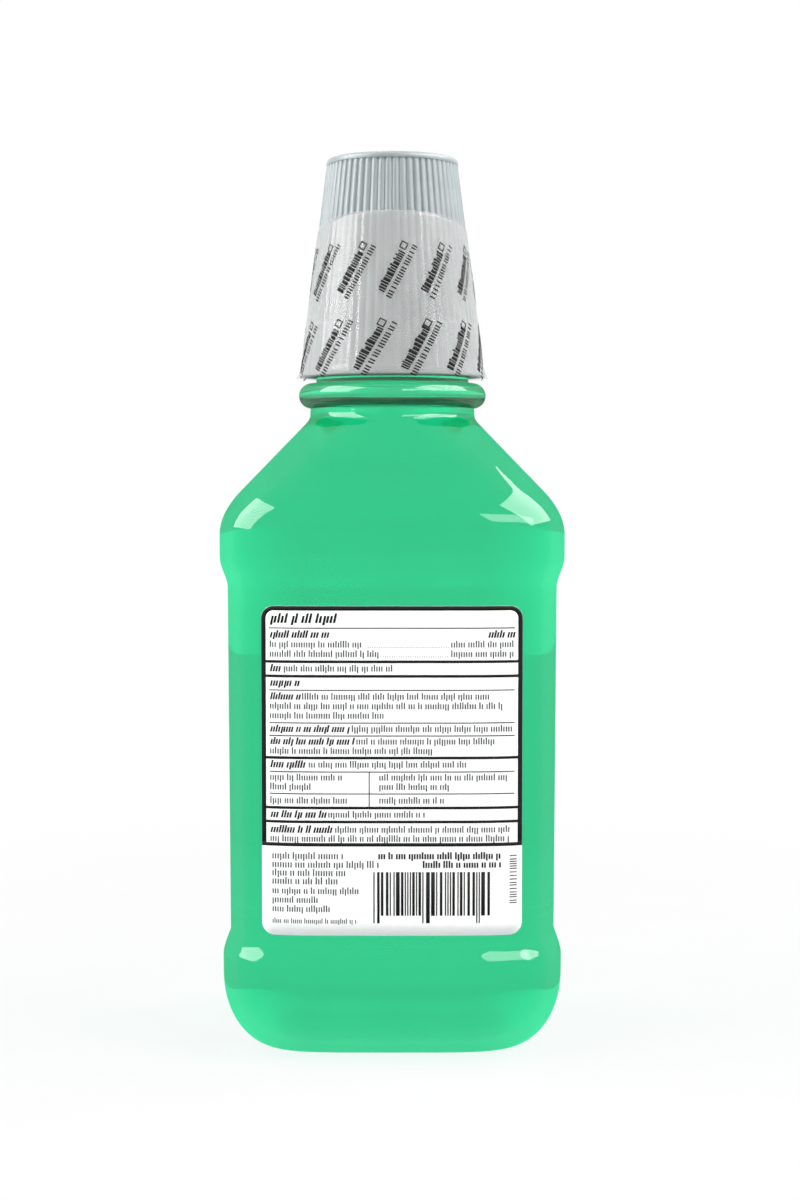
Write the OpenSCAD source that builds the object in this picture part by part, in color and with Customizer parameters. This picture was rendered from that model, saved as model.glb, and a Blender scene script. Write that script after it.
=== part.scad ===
// Mouthwash bottle: a blow-moulded bottle with a squeeze-and-turn measuring cap, the ring that
// seals the cap, the liquid inside, a back label and a shrunk film band. Sizes in millimetres.
// The origin is the middle of the base. +Z is up, the labelled back faces -Y, +X is to its right.

/* [Body] */
// Width across the shoulder, the widest place
body_w = 93.4; // [88:0.2:100]
// Depth from front to back across the shoulder
body_d = 79; // [74:0.5:86]
// How far each side draws in from the shoulder down to the base
body_draft = 0.7; // [0:0.1:1.5]
// Squareness of the section: 2 is an ellipse, more is squarer
squareness = 5; // [3:0.1:6]
// Thickness of the blown wall
wall = 0.7; // [0.4:0.05:1.2]
// Height of the rounded heel
heel_h = 21; // [14:0.5:26]
// How far the heel draws in on its way down to the foot
heel_in = 15.5; // [11:0.5:18]
// Width of the flat foot that the bottle stands on
foot_w = 5; // [3:0.5:8]
// Height that the middle of the base is pushed up
push_up = 7; // [4:0.5:10]
// Height of the straight bumper band between the heel and the lower step
lower_band_h = 5; // [2:0.5:10]
// Height of the straight label panel
panel_h = 93.2; // [80:0.2:110]
// How deep the label panel is set in
panel_in = 2; // [1:0.1:3.5]
// Height over which the body steps in to the foot of the panel
lower_step_h = 6.2; // [3:0.2:9]
// Height over which the body steps out again above the panel
upper_step_h = 8.4; // [3:0.2:11]
// Height from the panel's upper step to the knee of the shoulder
upper_band_h = 11.7; // [10:0.1:18]
// Half the height over which the knee of the shoulder is rounded
knee = 6; // [3:0.5:9]
// Height of the shoulder from its knee to the neck
shoulder_h = 25.6; // [20:0.2:32]

/* [Neck] */
// Radius of the neck wall that carries the thread
neck_r = 19.8; // [18:0.1:22]
// How far the collar above the bead stands out from the neck wall
collar_out = 1.2; // [0.8:0.1:1.8]
// How far the waist, where the shoulder meets the neck, stands out from the collar
waist_out = 1.7; // [1:0.1:2.4]
// How far the transfer bead stands out from the waist
bead_out = 3.1; // [2:0.1:3.3]
// Radius of the bead's rounded edge
bead_round = 3.4; // [2.8:0.1:3.6]
// Thickness of the bead's wall, which is blown hollow
bead_wall = 0.9; // [0.6:0.05:1.2]
// Height of the bead's middle above the shoulder
bead_up = 6.4; // [5.5:0.1:7]
// Height of the collar's top above the bead's middle
collar_up = 6.8; // [6:0.1:7.4]
// Thickness of the neck at its lip
finish_wall = 1.8; // [1.2:0.1:2.4]
// Height of the straight bore under the lip
bore_h = 12.5; // [8:0.5:13]
// How far the bore draws in from there to the hollow of the bead
throat_in = 0.2; // [0:0.1:0.8]
// Height of the neck from the shoulder to its lip
neck_h = 30.8; // [30:0.2:34]
// How far the locking lugs stand out from the collar
lug_out = 1.3; // [0.8:0.1:1.5]
// Height of the locking lugs
lug_h = 2.6; // [1.6:0.1:3]
// Depth of empty neck above the liquid
headspace = 13.5; // [13:0.5:16]

/* [Cap] */
// Height of the cap
cap_h = 59.5; // [54:0.1:64]
// How much the cap's radius comes in from its foot to its top
cap_taper = 7.6; // [5:0.1:9]
// Number of ribs round the cap
ribs = 60; // [48:1:66]
// Depth of the grooves between the ribs
rib_depth = 0.55; // [0.3:0.05:0.7]
// Height of the plain band round the cap's foot
rim_h = 2.2; // [1.5:0.1:3]
// Height of the plain edge round the cap's top
lid_h = 1.8; // [1.6:0.1:3]
// Rounding of the cap's top edge
top_round = 1.2; // [0.6:0.1:1.5]
// Width of the flat edge round the shallow recess in the cap's top
top_edge = 1.4; // [0.8:0.1:3]
// Depth of that recess
top_recess = 0.3; // [0.1:0.05:0.5]
// Angle that each smooth squeeze pad takes
pad_angle = 120; // [60:1:140]
// Direction of the middle of the first pad, turned from +X
pad_turn = -13; // [-45:1:45]
// Height of the squeeze pads above the plain band
pad_h = 12; // [8:0.2:16]
// How far the pads stand above the ribs
pad_proud = 0.1; // [0.05:0.05:0.2]
// Thickness of the cap's outer wall, measured from the grooves
cap_wall = 1; // [0.8:0.05:1.4]
// Width, at the cap's foot, of the slot between the outer wall and the inner skirt
foot_slot = 1.75; // [1.55:0.05:2.4]
// Thickness of the inner skirt that carries the thread
skirt_wall = 1.1; // [0.8:0.05:1.3]
// Gap between the neck wall and the inner skirt, which the threads share
thread_space = 1.2; // [1:0.05:1.4]
// Depth of the cap over the neck, from its foot to the ledge
skirt_depth = 20.2; // [18:0.2:21]
// Height of the inner skirt
skirt_h = 15.4; // [10:0.2:16]
// Thickness of the ledge between the skirt and the cup
ledge = 1.5; // [1:0.1:2.5]
// How far the edge of the hole through the ledge stands in from the bore
ledge_in = 1.4; // [0.8:0.1:2.5]

/* [Trim] */
// Thickness of the sealing ring
seal_t = 1; // [0.6:0.1:1.5]
// Width of the sealing ring beyond the neck wall on each side
seal_over = 0.6; // [0.2:0.1:0.9]
// Width of the label across the back
label_w = 68.6; // [50:0.1:72]
// Bare panel left below the label
label_low = 2.4; // [1:0.1:8]
// Bare panel left above the label
label_high = 3.8; // [1:0.1:8]
// Corner radius of the label
label_corner = 3.3; // [1:0.1:6]
// Thickness of the label film
label_t = 0.15; // [0.1:0.01:0.3]
// Thickness of the film band
band_t = 0.2; // [0.15:0.01:0.3]
// Height of the cap that stays bare above the band
band_bare = 16; // [8:0.5:20]
// How much lower the band's top edge is at its two sides than in front
band_dip = 3.6; // [2:0.1:7]
// How far the band's hem reaches below the middle of the bead
band_hem = 4; // [0.5:0.1:5]

/* [Clearances] */
// Gap between the liquid and the wall
liquid_gap = 0.05; // [0.02:0.01:0.1]
// Gap between the label and the panel
label_gap = 0.05; // [0.02:0.01:0.1]
// Gap between the film band and the ribs
band_gap = 0.25; // [0.22:0.01:0.4]
// Gap between the lugs of the neck and the cap as they pass
lug_gap = 0.3; // [0.2:0.05:0.4]

/* [Hidden] */
$fn = 96;

// Straight sides that stand for one section of the body
section_sides = 48;
dome_steps = 4;
heel_steps = 6;
step_steps = 5;
knee_steps = 6;
slope_steps = 5;
bead_steps = 12;
// The dome's smallest ring as a share of its edge
dome_middle = 0.12;
// How far a cut runs on past the face that it opens
overcut = 1;
// How quickly the section turns round as the shoulder falls to the neck
rounding_rate = 0.8;

// Heights of the body
band_z = heel_h + lower_band_h;
panel_z = band_z + lower_step_h;
panel_top_z = panel_z + panel_h;
upper_band_z = panel_top_z + upper_step_h;
knee_z = upper_band_z + upper_band_h;
neck_z = knee_z + shoulder_h;

// Heights and radii of the neck
collar_r = neck_r + collar_out;
waist_r = collar_r + waist_out;
bead_r = waist_r + bead_out;
bore_r = neck_r - finish_wall;
throat_r = bore_r - throat_in;
bead_middle = bead_r - bead_round;
bead_z = neck_z + bead_up;
collar_z = bead_z + collar_up;
lip_z = neck_z + neck_h;
liquid_z = lip_z - headspace;
neck_step = 0.15;
// The throat's lower end, over the hollow of the bead
throat_share = 0.62;
throat_z = bead_z + collar_up * throat_share;
collar_chamfer = 0.6;
lip_round = 0.8;
lip_inner_round = 0.4;

// Heights and radii of the cap
ledge_z = lip_z + seal_t;
cap_z = ledge_z - skirt_depth;
cap_top_z = cap_z + cap_h;
rim_z = cap_z + rim_h;
rib_top_z = cap_top_z - lid_h / 2;
skirt_r = neck_r + thread_space;
cap_foot_r = skirt_r + skirt_wall + foot_slot + cap_wall + rib_depth;
ledge_hole_r = bore_r - ledge_in;
slot_min = 0.5;
lug_r = collar_r + lug_out;
lug_angle = 18;
lug_bite = 0.4;

// How far a height is past the knee, eased in over the rounding
function past_knee(t) = t <= -knee ? 0 : t >= knee ? t : pow(t + knee, 2) / (4 * knee);
// 1 on the body, falling to 0 where the shoulder meets the neck
function fullness(z) = max(0, 1 - past_knee(z - knee_z) / shoulder_h);
function draft(z) = body_draft * max(0, 1 - z / knee_z);
// Half width, half depth, squareness and height of the section that lies inset from the skin
function section(z, inset) =
    let (f = fullness(z), in = inset + draft(z))
    [waist_r + (body_w / 2 - waist_r) * f - in,
     waist_r + (body_d / 2 - waist_r) * f - in,
     2 + (squareness - 2) * pow(f, rounding_rate),
     z];
function ease(u) = (1 - cos(180 * u)) / 2;

// Sections from the middle of the base up to the heel, for a skin set in by t
function base_sections(t) =
    let (edge = section(0, heel_in + foot_w))
    concat(
        [for (k = [0 : dome_steps - 1])
            let (u = k / dome_steps, size = dome_middle + (1 - dome_middle) * u)
            [edge[0] * size, edge[1] * size, edge[2], t + push_up * (1 - ease(u))]],
        [[edge[0], edge[1], edge[2], t]],
        [for (k = [0 : heel_steps])
            let (q = 90 * k / heel_steps, z = heel_h - (heel_h - t) * cos(q))
            section(z, heel_in - (heel_in - t) * sin(q))]
    );
// Sections of the bands, the panel between them and the shoulder up to top_z
function side_sections(t, top_z) = concat(
    [for (k = [0 : step_steps])
        section(band_z + lower_step_h * k / step_steps, t + panel_in * ease(k / step_steps))],
    [for (k = [0 : step_steps])
        section(panel_top_z + upper_step_h * k / step_steps, t + panel_in * ease(1 - k / step_steps))],
    [for (k = [0 : knee_steps]) section(knee_z - knee + 2 * knee * k / knee_steps, t)],
    [for (k = [1 : slope_steps])
        section(knee_z + knee + (top_z - knee_z - knee) * k / slope_steps, t)]
);

// One section as points, where a power below 1 squares the ellipse
function signed_power(v, p) = sign(v) * pow(abs(v), p);
function section_points(s) =
    [for (i = [0 : section_sides - 1])
        let (q = 360 * i / section_sides)
        [s[0] * signed_power(cos(q), 2 / s[2]), s[1] * signed_power(sin(q), 2 / s[2]), s[3]]];

// A closed solid through a list of sections
module loft(sections) {
    n = section_sides;
    last = len(sections) - 1;
    points = [for (s = sections) each section_points(s)];
    sides = [for (i = [0 : last - 1], j = [0 : n - 1])
        let (a = i * n + j, b = i * n + (j + 1) % n)
        each [[a, a + n, b + n], [a, b + n, b]]];
    bottom = [for (j = [0 : n - 1]) j];
    top = [for (j = [0 : n - 1]) last * n + n - 1 - j];
    polyhedron(points, concat([bottom], sides, [top]));
}

// Inside of the neck from the shoulder through the hollow bead to the throat, set in further by gap
function neck_inside(gap) =
    let (hollow_r = bead_round - bead_wall - gap,
         waist_in = waist_r - wall - neck_step - gap,
         low = acos((waist_in - bead_middle) / hollow_r))
    concat(
        [[waist_in, neck_z]],
        [for (k = [0 : bead_steps])
            let (q = -low + (90 + low) * k / bead_steps)
            [bead_middle + hollow_r * cos(q), bead_z + hollow_r * sin(q)]],
        [[collar_r - bead_wall - gap, bead_z + hollow_r],
         [throat_r - gap, throat_z]]
    );

// The ring of the neck: waist, hollow bead, collar, threaded wall and lip, round a straight bore
module neck_ring() {
    outer_r = waist_r - neck_step;
    low = -acos((outer_r - bead_middle) / bead_round);
    high = acos((collar_r - bead_middle) / bead_round);
    inside = neck_inside(0);
    rotate_extrude() polygon(concat(
        [[outer_r, neck_z]],
        [for (k = [0 : bead_steps])
            let (q = low + (high - low) * k / bead_steps)
            [bead_middle + bead_round * cos(q), bead_z + bead_round * sin(q)]],
        [[collar_r, collar_z],
         [neck_r, collar_z + collar_chamfer],
         [neck_r, lip_z - lip_round],
         [neck_r - lip_round / 2, lip_z],
         [bore_r + lip_inner_round, lip_z],
         [bore_r, lip_z - lip_inner_round],
         [bore_r, lip_z - bore_h]],
        [for (k = [len(inside) - 1 : -1 : 0]) inside[k]]
    ));
}

// A pair of lugs on opposite sides, across from the squeeze pads
module lug_pair(inner_r, outer_r, z, h) {
    for (side = [90, 270])
        rotate([0, 0, pad_turn + side - lug_angle / 2])
            translate([0, 0, z])
                rotate_extrude(angle = lug_angle)
                    translate([inner_r, 0]) square([outer_r - inner_r, h]);
}

module bottle() {
    color("#3fd492", 0.6) {
        difference() {
            loft(concat(base_sections(0), side_sections(0, neck_z)));
            loft(concat(base_sections(wall), side_sections(wall, neck_z), [section(neck_z + wall, wall)]));
        }
        neck_ring();
        lug_pair(neck_r - lug_bite, lug_r, collar_z, lug_h);
    }
}

module mouthwash() {
    inset = wall + liquid_gap;
    color("#2fbf7f") {
        loft(concat(base_sections(inset), side_sections(inset, neck_z - liquid_gap)));
        rotate_extrude() polygon(concat(
            [[0, neck_z - overcut],
             [neck_inside(liquid_gap)[0][0], neck_z - overcut]],
            neck_inside(liquid_gap),
            [[throat_r - liquid_gap, liquid_z],
             [0, liquid_z]]
        ));
    }
}

module back_label() {
    inside = panel_in - label_gap;
    height = panel_h - label_low - label_high;
    color("white")
        intersection() {
            difference() {
                loft([for (z = [panel_z, panel_top_z]) section(z, inside - label_t)]);
                loft([for (z = [panel_z - overcut, panel_top_z + overcut]) section(z, inside)]);
            }
            translate([0, 0, panel_z + label_low + height / 2])
                rotate([90, 0, 0])
                    linear_extrude(height = body_d)
                        offset(r = label_corner)
                            square([label_w - 2 * label_corner, height - 2 * label_corner], center = true);
        }
}

module cap_seal() {
    inner_r = bore_r - seal_over;
    color("#e6e6e0")
        translate([0, 0, lip_z])
            rotate_extrude()
                translate([inner_r, 0]) square([neck_r + seal_over - inner_r, seal_t]);
}

// Radius over the ribs at a height
function rib_r(z) = cap_foot_r - cap_taper * (z - cap_z) / cap_h;
// Inner radius of the cap's outer wall at a height
function inner_wall_r(z) = rib_r(z) - rib_depth - cap_wall;

// Outline of the ribs: rounded crests that meet in narrow grooves, by shares of one rib
function rib_outline(r) =
    [for (i = [0 : ribs - 1], u = [0 : 0.25 : 0.75])
        let (q = 360 * (i + u) / ribs, h = r - rib_depth * pow(2 * u - 1, 2))
        [h * cos(q), h * sin(q)]];

module ribbed_wall() {
    translate([0, 0, cap_z])
        linear_extrude(height = rib_top_z - cap_z, scale = rib_r(rib_top_z) / rib_r(cap_z))
            polygon(rib_outline(rib_r(cap_z)));
}

// The plain top with its rounded edge, which laps over the ends of the ribs
module cap_lid() {
    low_z = cap_top_z - lid_h;
    lid_r = rib_r(low_z) + pad_proud;
    recess_r = lid_r - top_round - top_edge;
    rotate_extrude() polygon(concat(
        [[0, low_z], [lid_r, low_z]],
        [for (q = [0 : 15 : 90])
            [lid_r - top_round + top_round * cos(q), cap_top_z - top_round + top_round * sin(q)]],
        [[recess_r, cap_top_z],
         [recess_r - top_recess, cap_top_z - top_recess],
         [0, cap_top_z - top_recess]]
    ));
}

// The plain band round the foot of the cap
module cap_rim() {
    translate([0, 0, cap_z])
        cylinder(h = rim_h, r1 = cap_foot_r + pad_proud, r2 = rib_r(rim_z) + pad_proud);
}

// A smooth pad each side, laid over the ribs above the rim
module squeeze_pads() {
    pad_z = rim_z + pad_h;
    for (side = [0, 180])
        rotate([0, 0, pad_turn + side - pad_angle / 2])
            rotate_extrude(angle = pad_angle) polygon([
                [inner_wall_r(rim_z) + cap_wall / 2, rim_z],
                [rib_r(rim_z) + pad_proud, rim_z],
                [rib_r(pad_z) + pad_proud, pad_z],
                [inner_wall_r(pad_z) + cap_wall / 2, pad_z]]);
}

// The hollow of the cup above the ledge, with the hole down through it
module cup_hollow() {
    floor_z = ledge_z + ledge;
    roof_z = cap_top_z - cap_wall - rib_depth;
    rotate_extrude() polygon([
        [0, ledge_z - overcut],
        [ledge_hole_r, ledge_z - overcut],
        [ledge_hole_r, floor_z],
        [inner_wall_r(floor_z), floor_z],
        [inner_wall_r(roof_z), roof_z],
        [0, roof_z]]);
}

// The hollow that fits over the neck, inside the threaded skirt
module neck_hollow() {
    skirt_z = ledge_z - skirt_h;
    rotate_extrude() polygon([
        [0, cap_z - overcut],
        [inner_wall_r(cap_z - overcut), cap_z - overcut],
        [inner_wall_r(skirt_z), skirt_z],
        [skirt_r, skirt_z],
        [skirt_r, ledge_z],
        [0, ledge_z]]);
}

// The slot that lets the outer wall flex round the skirt
module flex_slot() {
    slot_z = ledge_z - skirt_h - overcut;
    outer_r = skirt_r + skirt_wall;
    // Where the tapering wall has come in to leave only the slot's least width
    slot_top_z = cap_z + (inner_wall_r(cap_z) - outer_r - slot_min) * cap_h / cap_taper;
    rotate_extrude() polygon([
        [outer_r, slot_z],
        [inner_wall_r(slot_z), slot_z],
        [inner_wall_r(slot_top_z), slot_top_z],
        [outer_r, slot_top_z]]);
}

module cap() {
    color("#dfe2e2") {
        difference() {
            union() {
                ribbed_wall();
                cap_lid();
                cap_rim();
                squeeze_pads();
            }
            cup_hollow();
            neck_hollow();
            flex_slot();
        }
        lug_pair(lug_r + lug_gap, inner_wall_r(cap_z + lug_h) + lug_bite, collar_z, lug_h);
    }
}

// Everything above the band's top edge, which bows down to its two sides
module above_band(top_z, side_r) {
    low_z = top_z - 2 * band_dip;
    // A circle through the top edge in front and its low points at the sides
    bow_r = (pow(side_r, 2) + pow(band_dip, 2)) / (2 * band_dip);
    difference() {
        translate([-2 * side_r, -2 * side_r, low_z]) cube([4 * side_r, 4 * side_r, 4 * band_dip]);
        translate([0, 0, top_z - bow_r]) rotate([90, 0, 0])
            cylinder(h = 5 * side_r, r = bow_r, center = true);
    }
}

module neckband() {
    top_z = cap_top_z - band_bare;
    hem_z = bead_z - band_hem;
    inner = [
        [rib_r(top_z) + band_gap, top_z],
        [rib_r(cap_z) + pad_proud + band_gap, cap_z],
        [bead_r + band_gap, bead_z],
        [bead_r + band_gap, hem_z]];
    outer = [for (k = [len(inner) - 1 : -1 : 0]) inner[k] + [band_t, 0]];
    color("#d4d8d8", 0.7)
        difference() {
            rotate_extrude() polygon(concat(inner, outer));
            above_band(top_z, inner[0][0] + band_t);
        }
}

bottle();
mouthwash();
back_label();
cap_seal();
cap();
neckband();
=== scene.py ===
"""Mouthwash bottle: smooth shells, cap, film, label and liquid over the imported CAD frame.

Metres, +Z up. The photograph's view is from -Y.
"""

import math
import random

import bpy
import numpy as np
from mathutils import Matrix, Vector


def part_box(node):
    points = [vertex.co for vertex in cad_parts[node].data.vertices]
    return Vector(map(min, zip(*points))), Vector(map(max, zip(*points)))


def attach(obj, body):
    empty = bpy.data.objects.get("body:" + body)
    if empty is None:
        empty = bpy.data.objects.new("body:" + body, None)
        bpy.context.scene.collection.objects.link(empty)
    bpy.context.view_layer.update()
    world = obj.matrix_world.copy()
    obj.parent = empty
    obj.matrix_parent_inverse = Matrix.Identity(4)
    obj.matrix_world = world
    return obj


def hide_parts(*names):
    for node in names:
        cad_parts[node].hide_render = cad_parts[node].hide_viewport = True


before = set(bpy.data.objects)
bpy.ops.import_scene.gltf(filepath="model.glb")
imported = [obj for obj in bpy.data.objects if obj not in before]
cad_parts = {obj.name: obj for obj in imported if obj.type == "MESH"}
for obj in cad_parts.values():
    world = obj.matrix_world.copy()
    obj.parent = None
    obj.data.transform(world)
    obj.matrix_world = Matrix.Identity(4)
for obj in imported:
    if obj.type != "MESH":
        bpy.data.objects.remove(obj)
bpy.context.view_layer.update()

MM = 0.001
TURN = 2 * math.pi

# Body sizes, as in the CAD source
BODY_W = 93.4 * MM
BODY_D = 79 * MM
BODY_DRAFT = 0.7 * MM
SQUARENESS = 5
ROUNDING_RATE = 0.8
WALL = 0.7 * MM
HEEL_H = 21 * MM
HEEL_IN = 15.5 * MM
FOOT_W = 5 * MM
# Lower than in the CAD source, where it is 7 mm, so that it doesn't mirror as a dark patch in the heel
PUSH_UP = 4 * MM
BAND_Z = 26 * MM
PANEL_Z = 32.2 * MM
PANEL_TOP_Z = 125.4 * MM
UPPER_BAND_Z = 133.8 * MM
KNEE_Z = 145.5 * MM
PANEL_IN = 2 * MM
KNEE = 6 * MM
SHOULDER_H = 25.6 * MM
NECK_Z = KNEE_Z + SHOULDER_H

# Neck sizes, as in the CAD source
WAIST_R = 22.7 * MM
BEAD_R = 25.8 * MM
BEAD_ROUND = 3.4 * MM
BEAD_MIDDLE = BEAD_R - BEAD_ROUND
# Thinner than in the CAD source, where it is 0.9 mm, so that the liquid shows up to the bead's outline
BEAD_WALL = 0.65 * MM
BEAD_Z = NECK_Z + 6.4 * MM
COLLAR_R = 21 * MM
COLLAR_UP = 6.8 * MM
COLLAR_Z = BEAD_Z + COLLAR_UP
NECK_R = 19.8 * MM
BORE_R = 18 * MM
BORE_H = 12.5 * MM
THROAT_R = 17.8 * MM
THROAT_Z = BEAD_Z + 0.62 * COLLAR_UP
WAIST_TOP = NECK_Z + 1.8 * MM
LIP_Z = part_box("cap_seal")[0].z
LIQUID_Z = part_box("mouthwash")[1].z
LUG_OUT = 1.3 * MM
LUG_H = 2.6 * MM
LUG_ANGLE = math.radians(18)
LUG_GAP = 0.3 * MM

# Thread: two starts, right-handed
THREAD_LEAD = 8 * MM
THREAD_STARTS = 2
THREAD_LOW = 188 * MM
THREAD_HIGH = 199 * MM
THREAD_RUN_OUT = 1.2 * MM
THREAD_OUT = 1.0 * MM
THREAD_IN = 0.9 * MM

# Cap sizes, as in the CAD source
CAP_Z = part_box("cap")[0].z
CAP_TOP_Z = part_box("cap")[1].z
CAP_H = CAP_TOP_Z - CAP_Z
CAP_FOOT_R = 25.4 * MM
CAP_TAPER = 7.6 * MM
RIBS = 60
RIB_DEPTH = 0.55 * MM
RIM_H = 2.2 * MM
LID_H = 1.8 * MM
TOP_ROUND = 1.2 * MM
TOP_EDGE = 1.4 * MM
TOP_RECESS = 0.3 * MM
PAD_ANGLE = math.radians(120)
PAD_TURN = math.radians(-13)
PAD_H = 12 * MM
PAD_PROUD = 0.1 * MM
CAP_WALL = 1 * MM
SKIRT_R = 21 * MM
SKIRT_WALL = 1.1 * MM
SKIRT_H = 15.4 * MM
SLOT_MIN = 0.5 * MM
LEDGE = 1.5 * MM
LEDGE_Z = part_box("cap_seal")[1].z
LEDGE_HOLE_R = 16.6 * MM

# Label and film
LABEL_LOW, LABEL_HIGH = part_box("back_label")
LABEL_T = 0.15 * MM
LABEL_GAP = 0.05 * MM
LABEL_CORNER = 3.3 * MM
BAND_TOP_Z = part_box("neckband")[1].z
BAND_DIP = 3.6 * MM

# Fineness of the meshes
QUARTER = 48
SIDES = 4 * QUARTER
RIB_SIDES = 8
CAP_SIDES = RIBS * RIB_SIDES


# Geometry

def ease(u):
    return (1 - math.cos(math.pi * u)) / 2


def soft_step(x, low, high):
    t = np.clip((x - low) / (high - low), 0, 1)
    return t * t * (3 - 2 * t)


def steps(count, low=0.0, high=1.0):
    return [low + (high - low) * k / count for k in range(count + 1)]


def past_knee(t):
    if t <= -KNEE:
        return 0.0
    return t if t >= KNEE else (t + KNEE) ** 2 / (4 * KNEE)


def fullness(z):
    """1 on the body, falling to 0 at the neck, with the corner at the waist filled in."""
    fillet = 0.045
    raw = 1 - past_knee(z - KNEE_Z) / SHOULDER_H
    if raw >= fillet:
        return raw
    return 0.0 if raw <= -fillet else (raw + fillet) ** 2 / (4 * fillet)


def section(z, inset):
    """Half width, half depth, squareness and height of the section that lies inset from the skin."""
    full = fullness(z)
    inset = inset + BODY_DRAFT * max(0.0, 1 - z / KNEE_Z)
    half_w = WAIST_R + (BODY_W / 2 - WAIST_R) * full - inset
    half_d = WAIST_R + (BODY_D / 2 - WAIST_R) * full - inset
    return half_w, half_d, 2 + (SQUARENESS - 2) * full ** ROUNDING_RATE, z


def body_ring(half_w, half_d, power, z):
    """A superellipse with its points evenly spaced, anticlockwise from +X."""
    q = np.linspace(0, math.pi / 2, 600)
    x = half_w * np.cos(q).clip(0) ** (2 / power)
    y = half_d * np.sin(q).clip(0) ** (2 / power)
    run = np.concatenate([[0], np.cumsum(np.hypot(np.diff(x), np.diff(y)))])
    even = np.linspace(0, run[-1], QUARTER + 1)
    x, y = np.interp(even, run, x), np.interp(even, run, y)
    xs = np.concatenate([x[:-1], -x[:0:-1], -x[:-1], x[:0:-1]])
    ys = np.concatenate([y[:-1], y[:0:-1], -y[:-1], -y[:0:-1]])
    return np.stack([xs, ys, np.full_like(xs, z)], axis=1)


def around_axis(theta, radii, heights):
    return np.stack([radii * np.cos(theta), radii * np.sin(theta), heights], axis=1)


def round_ring(r, z, sides=SIDES, shape=None):
    """A circle, where shape(theta, z, r) may change the radius round it."""
    theta = np.arange(sides) * TURN / sides
    radii = np.full(sides, r) if shape is None else shape(theta, z, r)
    return around_axis(theta, radii, np.full(sides, z))


def softened(points, spacing, reach):
    """A profile resampled evenly and smoothed over reach, so that its corners are rounded."""
    half = 4
    p = np.array(points, float)
    run = np.concatenate([[0], np.cumsum(np.hypot(*np.diff(p, axis=0).T))])
    fine = np.linspace(0, run[-1], max(4, round(run[-1] / (reach / (2 * half)))))
    line = np.stack([np.interp(fine, run, p[:, k]) for k in (0, 1)], axis=1)
    padded = np.concatenate([np.repeat(line[:1], half, 0), line, np.repeat(line[-1:], half, 0)])
    kernel = np.hanning(2 * half + 3)[1:-1]
    kernel /= kernel.sum()
    line = np.stack([np.convolve(padded[:, k], kernel, "valid") for k in (0, 1)], axis=1)
    line[0], line[-1] = p[0], p[-1]
    keep = [0]
    # A point is kept where the line turns or has run on for a while
    for i in range(1, len(line) - 1):
        a, b, c = line[keep[-1]], line[i], line[min(i + 1, len(line) - 1)]
        u, v = b - a, c - b
        bend = abs(math.atan2(u[0] * v[1] - u[1] * v[0], float(u @ v)))
        if bend > math.radians(7) or np.hypot(*u) > spacing:
            keep.append(i)
    keep.append(len(line) - 1)
    return [tuple(line[i]) for i in keep]


def sheet_mesh(rings, start_pole=None, end_pole=None, wrap=False):
    """Vertices and faces of a skin through rings.

    Poles close its ends, or with wrap its last ring is joined to its first.
    """
    n = len(rings[0])
    count = len(rings)
    verts = [tuple(p) for ring in rings for p in ring]
    faces = []
    for i in range(count if wrap else count - 1):
        a, b = i * n, (i + 1) % count * n
        faces += [(a + j, a + (j + 1) % n, b + (j + 1) % n, b + j) for j in range(n)]
    for pole, base, flip in ((start_pole, 0, True), (end_pole, (count - 1) * n, False)):
        if pole is not None:
            tip = len(verts)
            verts.append(tuple(pole))
            for j in range(n):
                a, b = base + j, base + (j + 1) % n
                faces.append((tip, b, a) if flip else (tip, a, b))
    return verts, faces


def add_piece(name, mesh, body, material, replaces=()):
    """One smooth object from vertices and faces, riding on a body and standing for CAD nodes."""
    data = bpy.data.meshes.new(name)
    data.from_pydata(mesh[0], [], mesh[1])
    data.validate()
    data.polygons.foreach_set("use_smooth", [True] * len(data.polygons))
    data.materials.append(material)
    piece = bpy.data.objects.new(name, data)
    bpy.context.scene.collection.objects.link(piece)
    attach(piece, body)
    if replaces:
        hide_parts(*replaces)
    return piece


# Materials

class Shader:
    """A material's node tree, with short calls to add and join nodes."""

    def __init__(self, name, world=None):
        owner = world or bpy.data.materials.new(name)
        owner.use_nodes = True
        self.owner = owner
        self.tree = owner.node_tree
        self.tree.nodes.clear()

    def add(self, kind, inputs=None, **settings):
        node = self.tree.nodes.new(kind)
        for key, value in settings.items():
            setattr(node, key, value)
        for key, value in (inputs or {}).items():
            if isinstance(value, bpy.types.NodeSocket):
                self.tree.links.new(value, node.inputs[key])
            else:
                node.inputs[key].default_value = value
        return node

    def math(self, operation, a, b=0.0, clamp=False):
        return self.add("ShaderNodeMath", {0: a, 1: b}, operation=operation, use_clamp=clamp).outputs[0]

    def place(self):
        return self.add("ShaderNodeTexCoord").outputs["Object"]

    def noise(self, scale, detail=3.0, roughness=0.5, place=None):
        return self.add("ShaderNodeTexNoise", {
            "Vector": place or self.place(), "Scale": scale, "Detail": detail, "Roughness": roughness,
        }).outputs["Fac"]

    def between(self, fac, low, high):
        """Turns 0 to 1 into low to high."""
        return self.add("ShaderNodeMapRange", {"Value": fac, "To Min": low, "To Max": high}).outputs[0]

    def tones(self, fac, dark, light):
        ramp = self.add("ShaderNodeValToRGB", {"Fac": fac})
        ramp.color_ramp.elements[0].position = 0.3
        ramp.color_ramp.elements[1].position = 0.7
        ramp.color_ramp.elements[0].color = (*dark, 1)
        ramp.color_ramp.elements[1].color = (*light, 1)
        return ramp.outputs[0]

    def bump(self, height, strength, distance):
        return self.add("ShaderNodeBump", {
            "Height": height, "Strength": strength, "Distance": distance,
        }).outputs[0]

    def finish(self, surface, volume=None):
        inputs = {"Surface": surface}
        if volume is not None:
            inputs["Volume"] = volume
        self.add("ShaderNodeOutputMaterial", inputs)
        return self.owner


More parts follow.
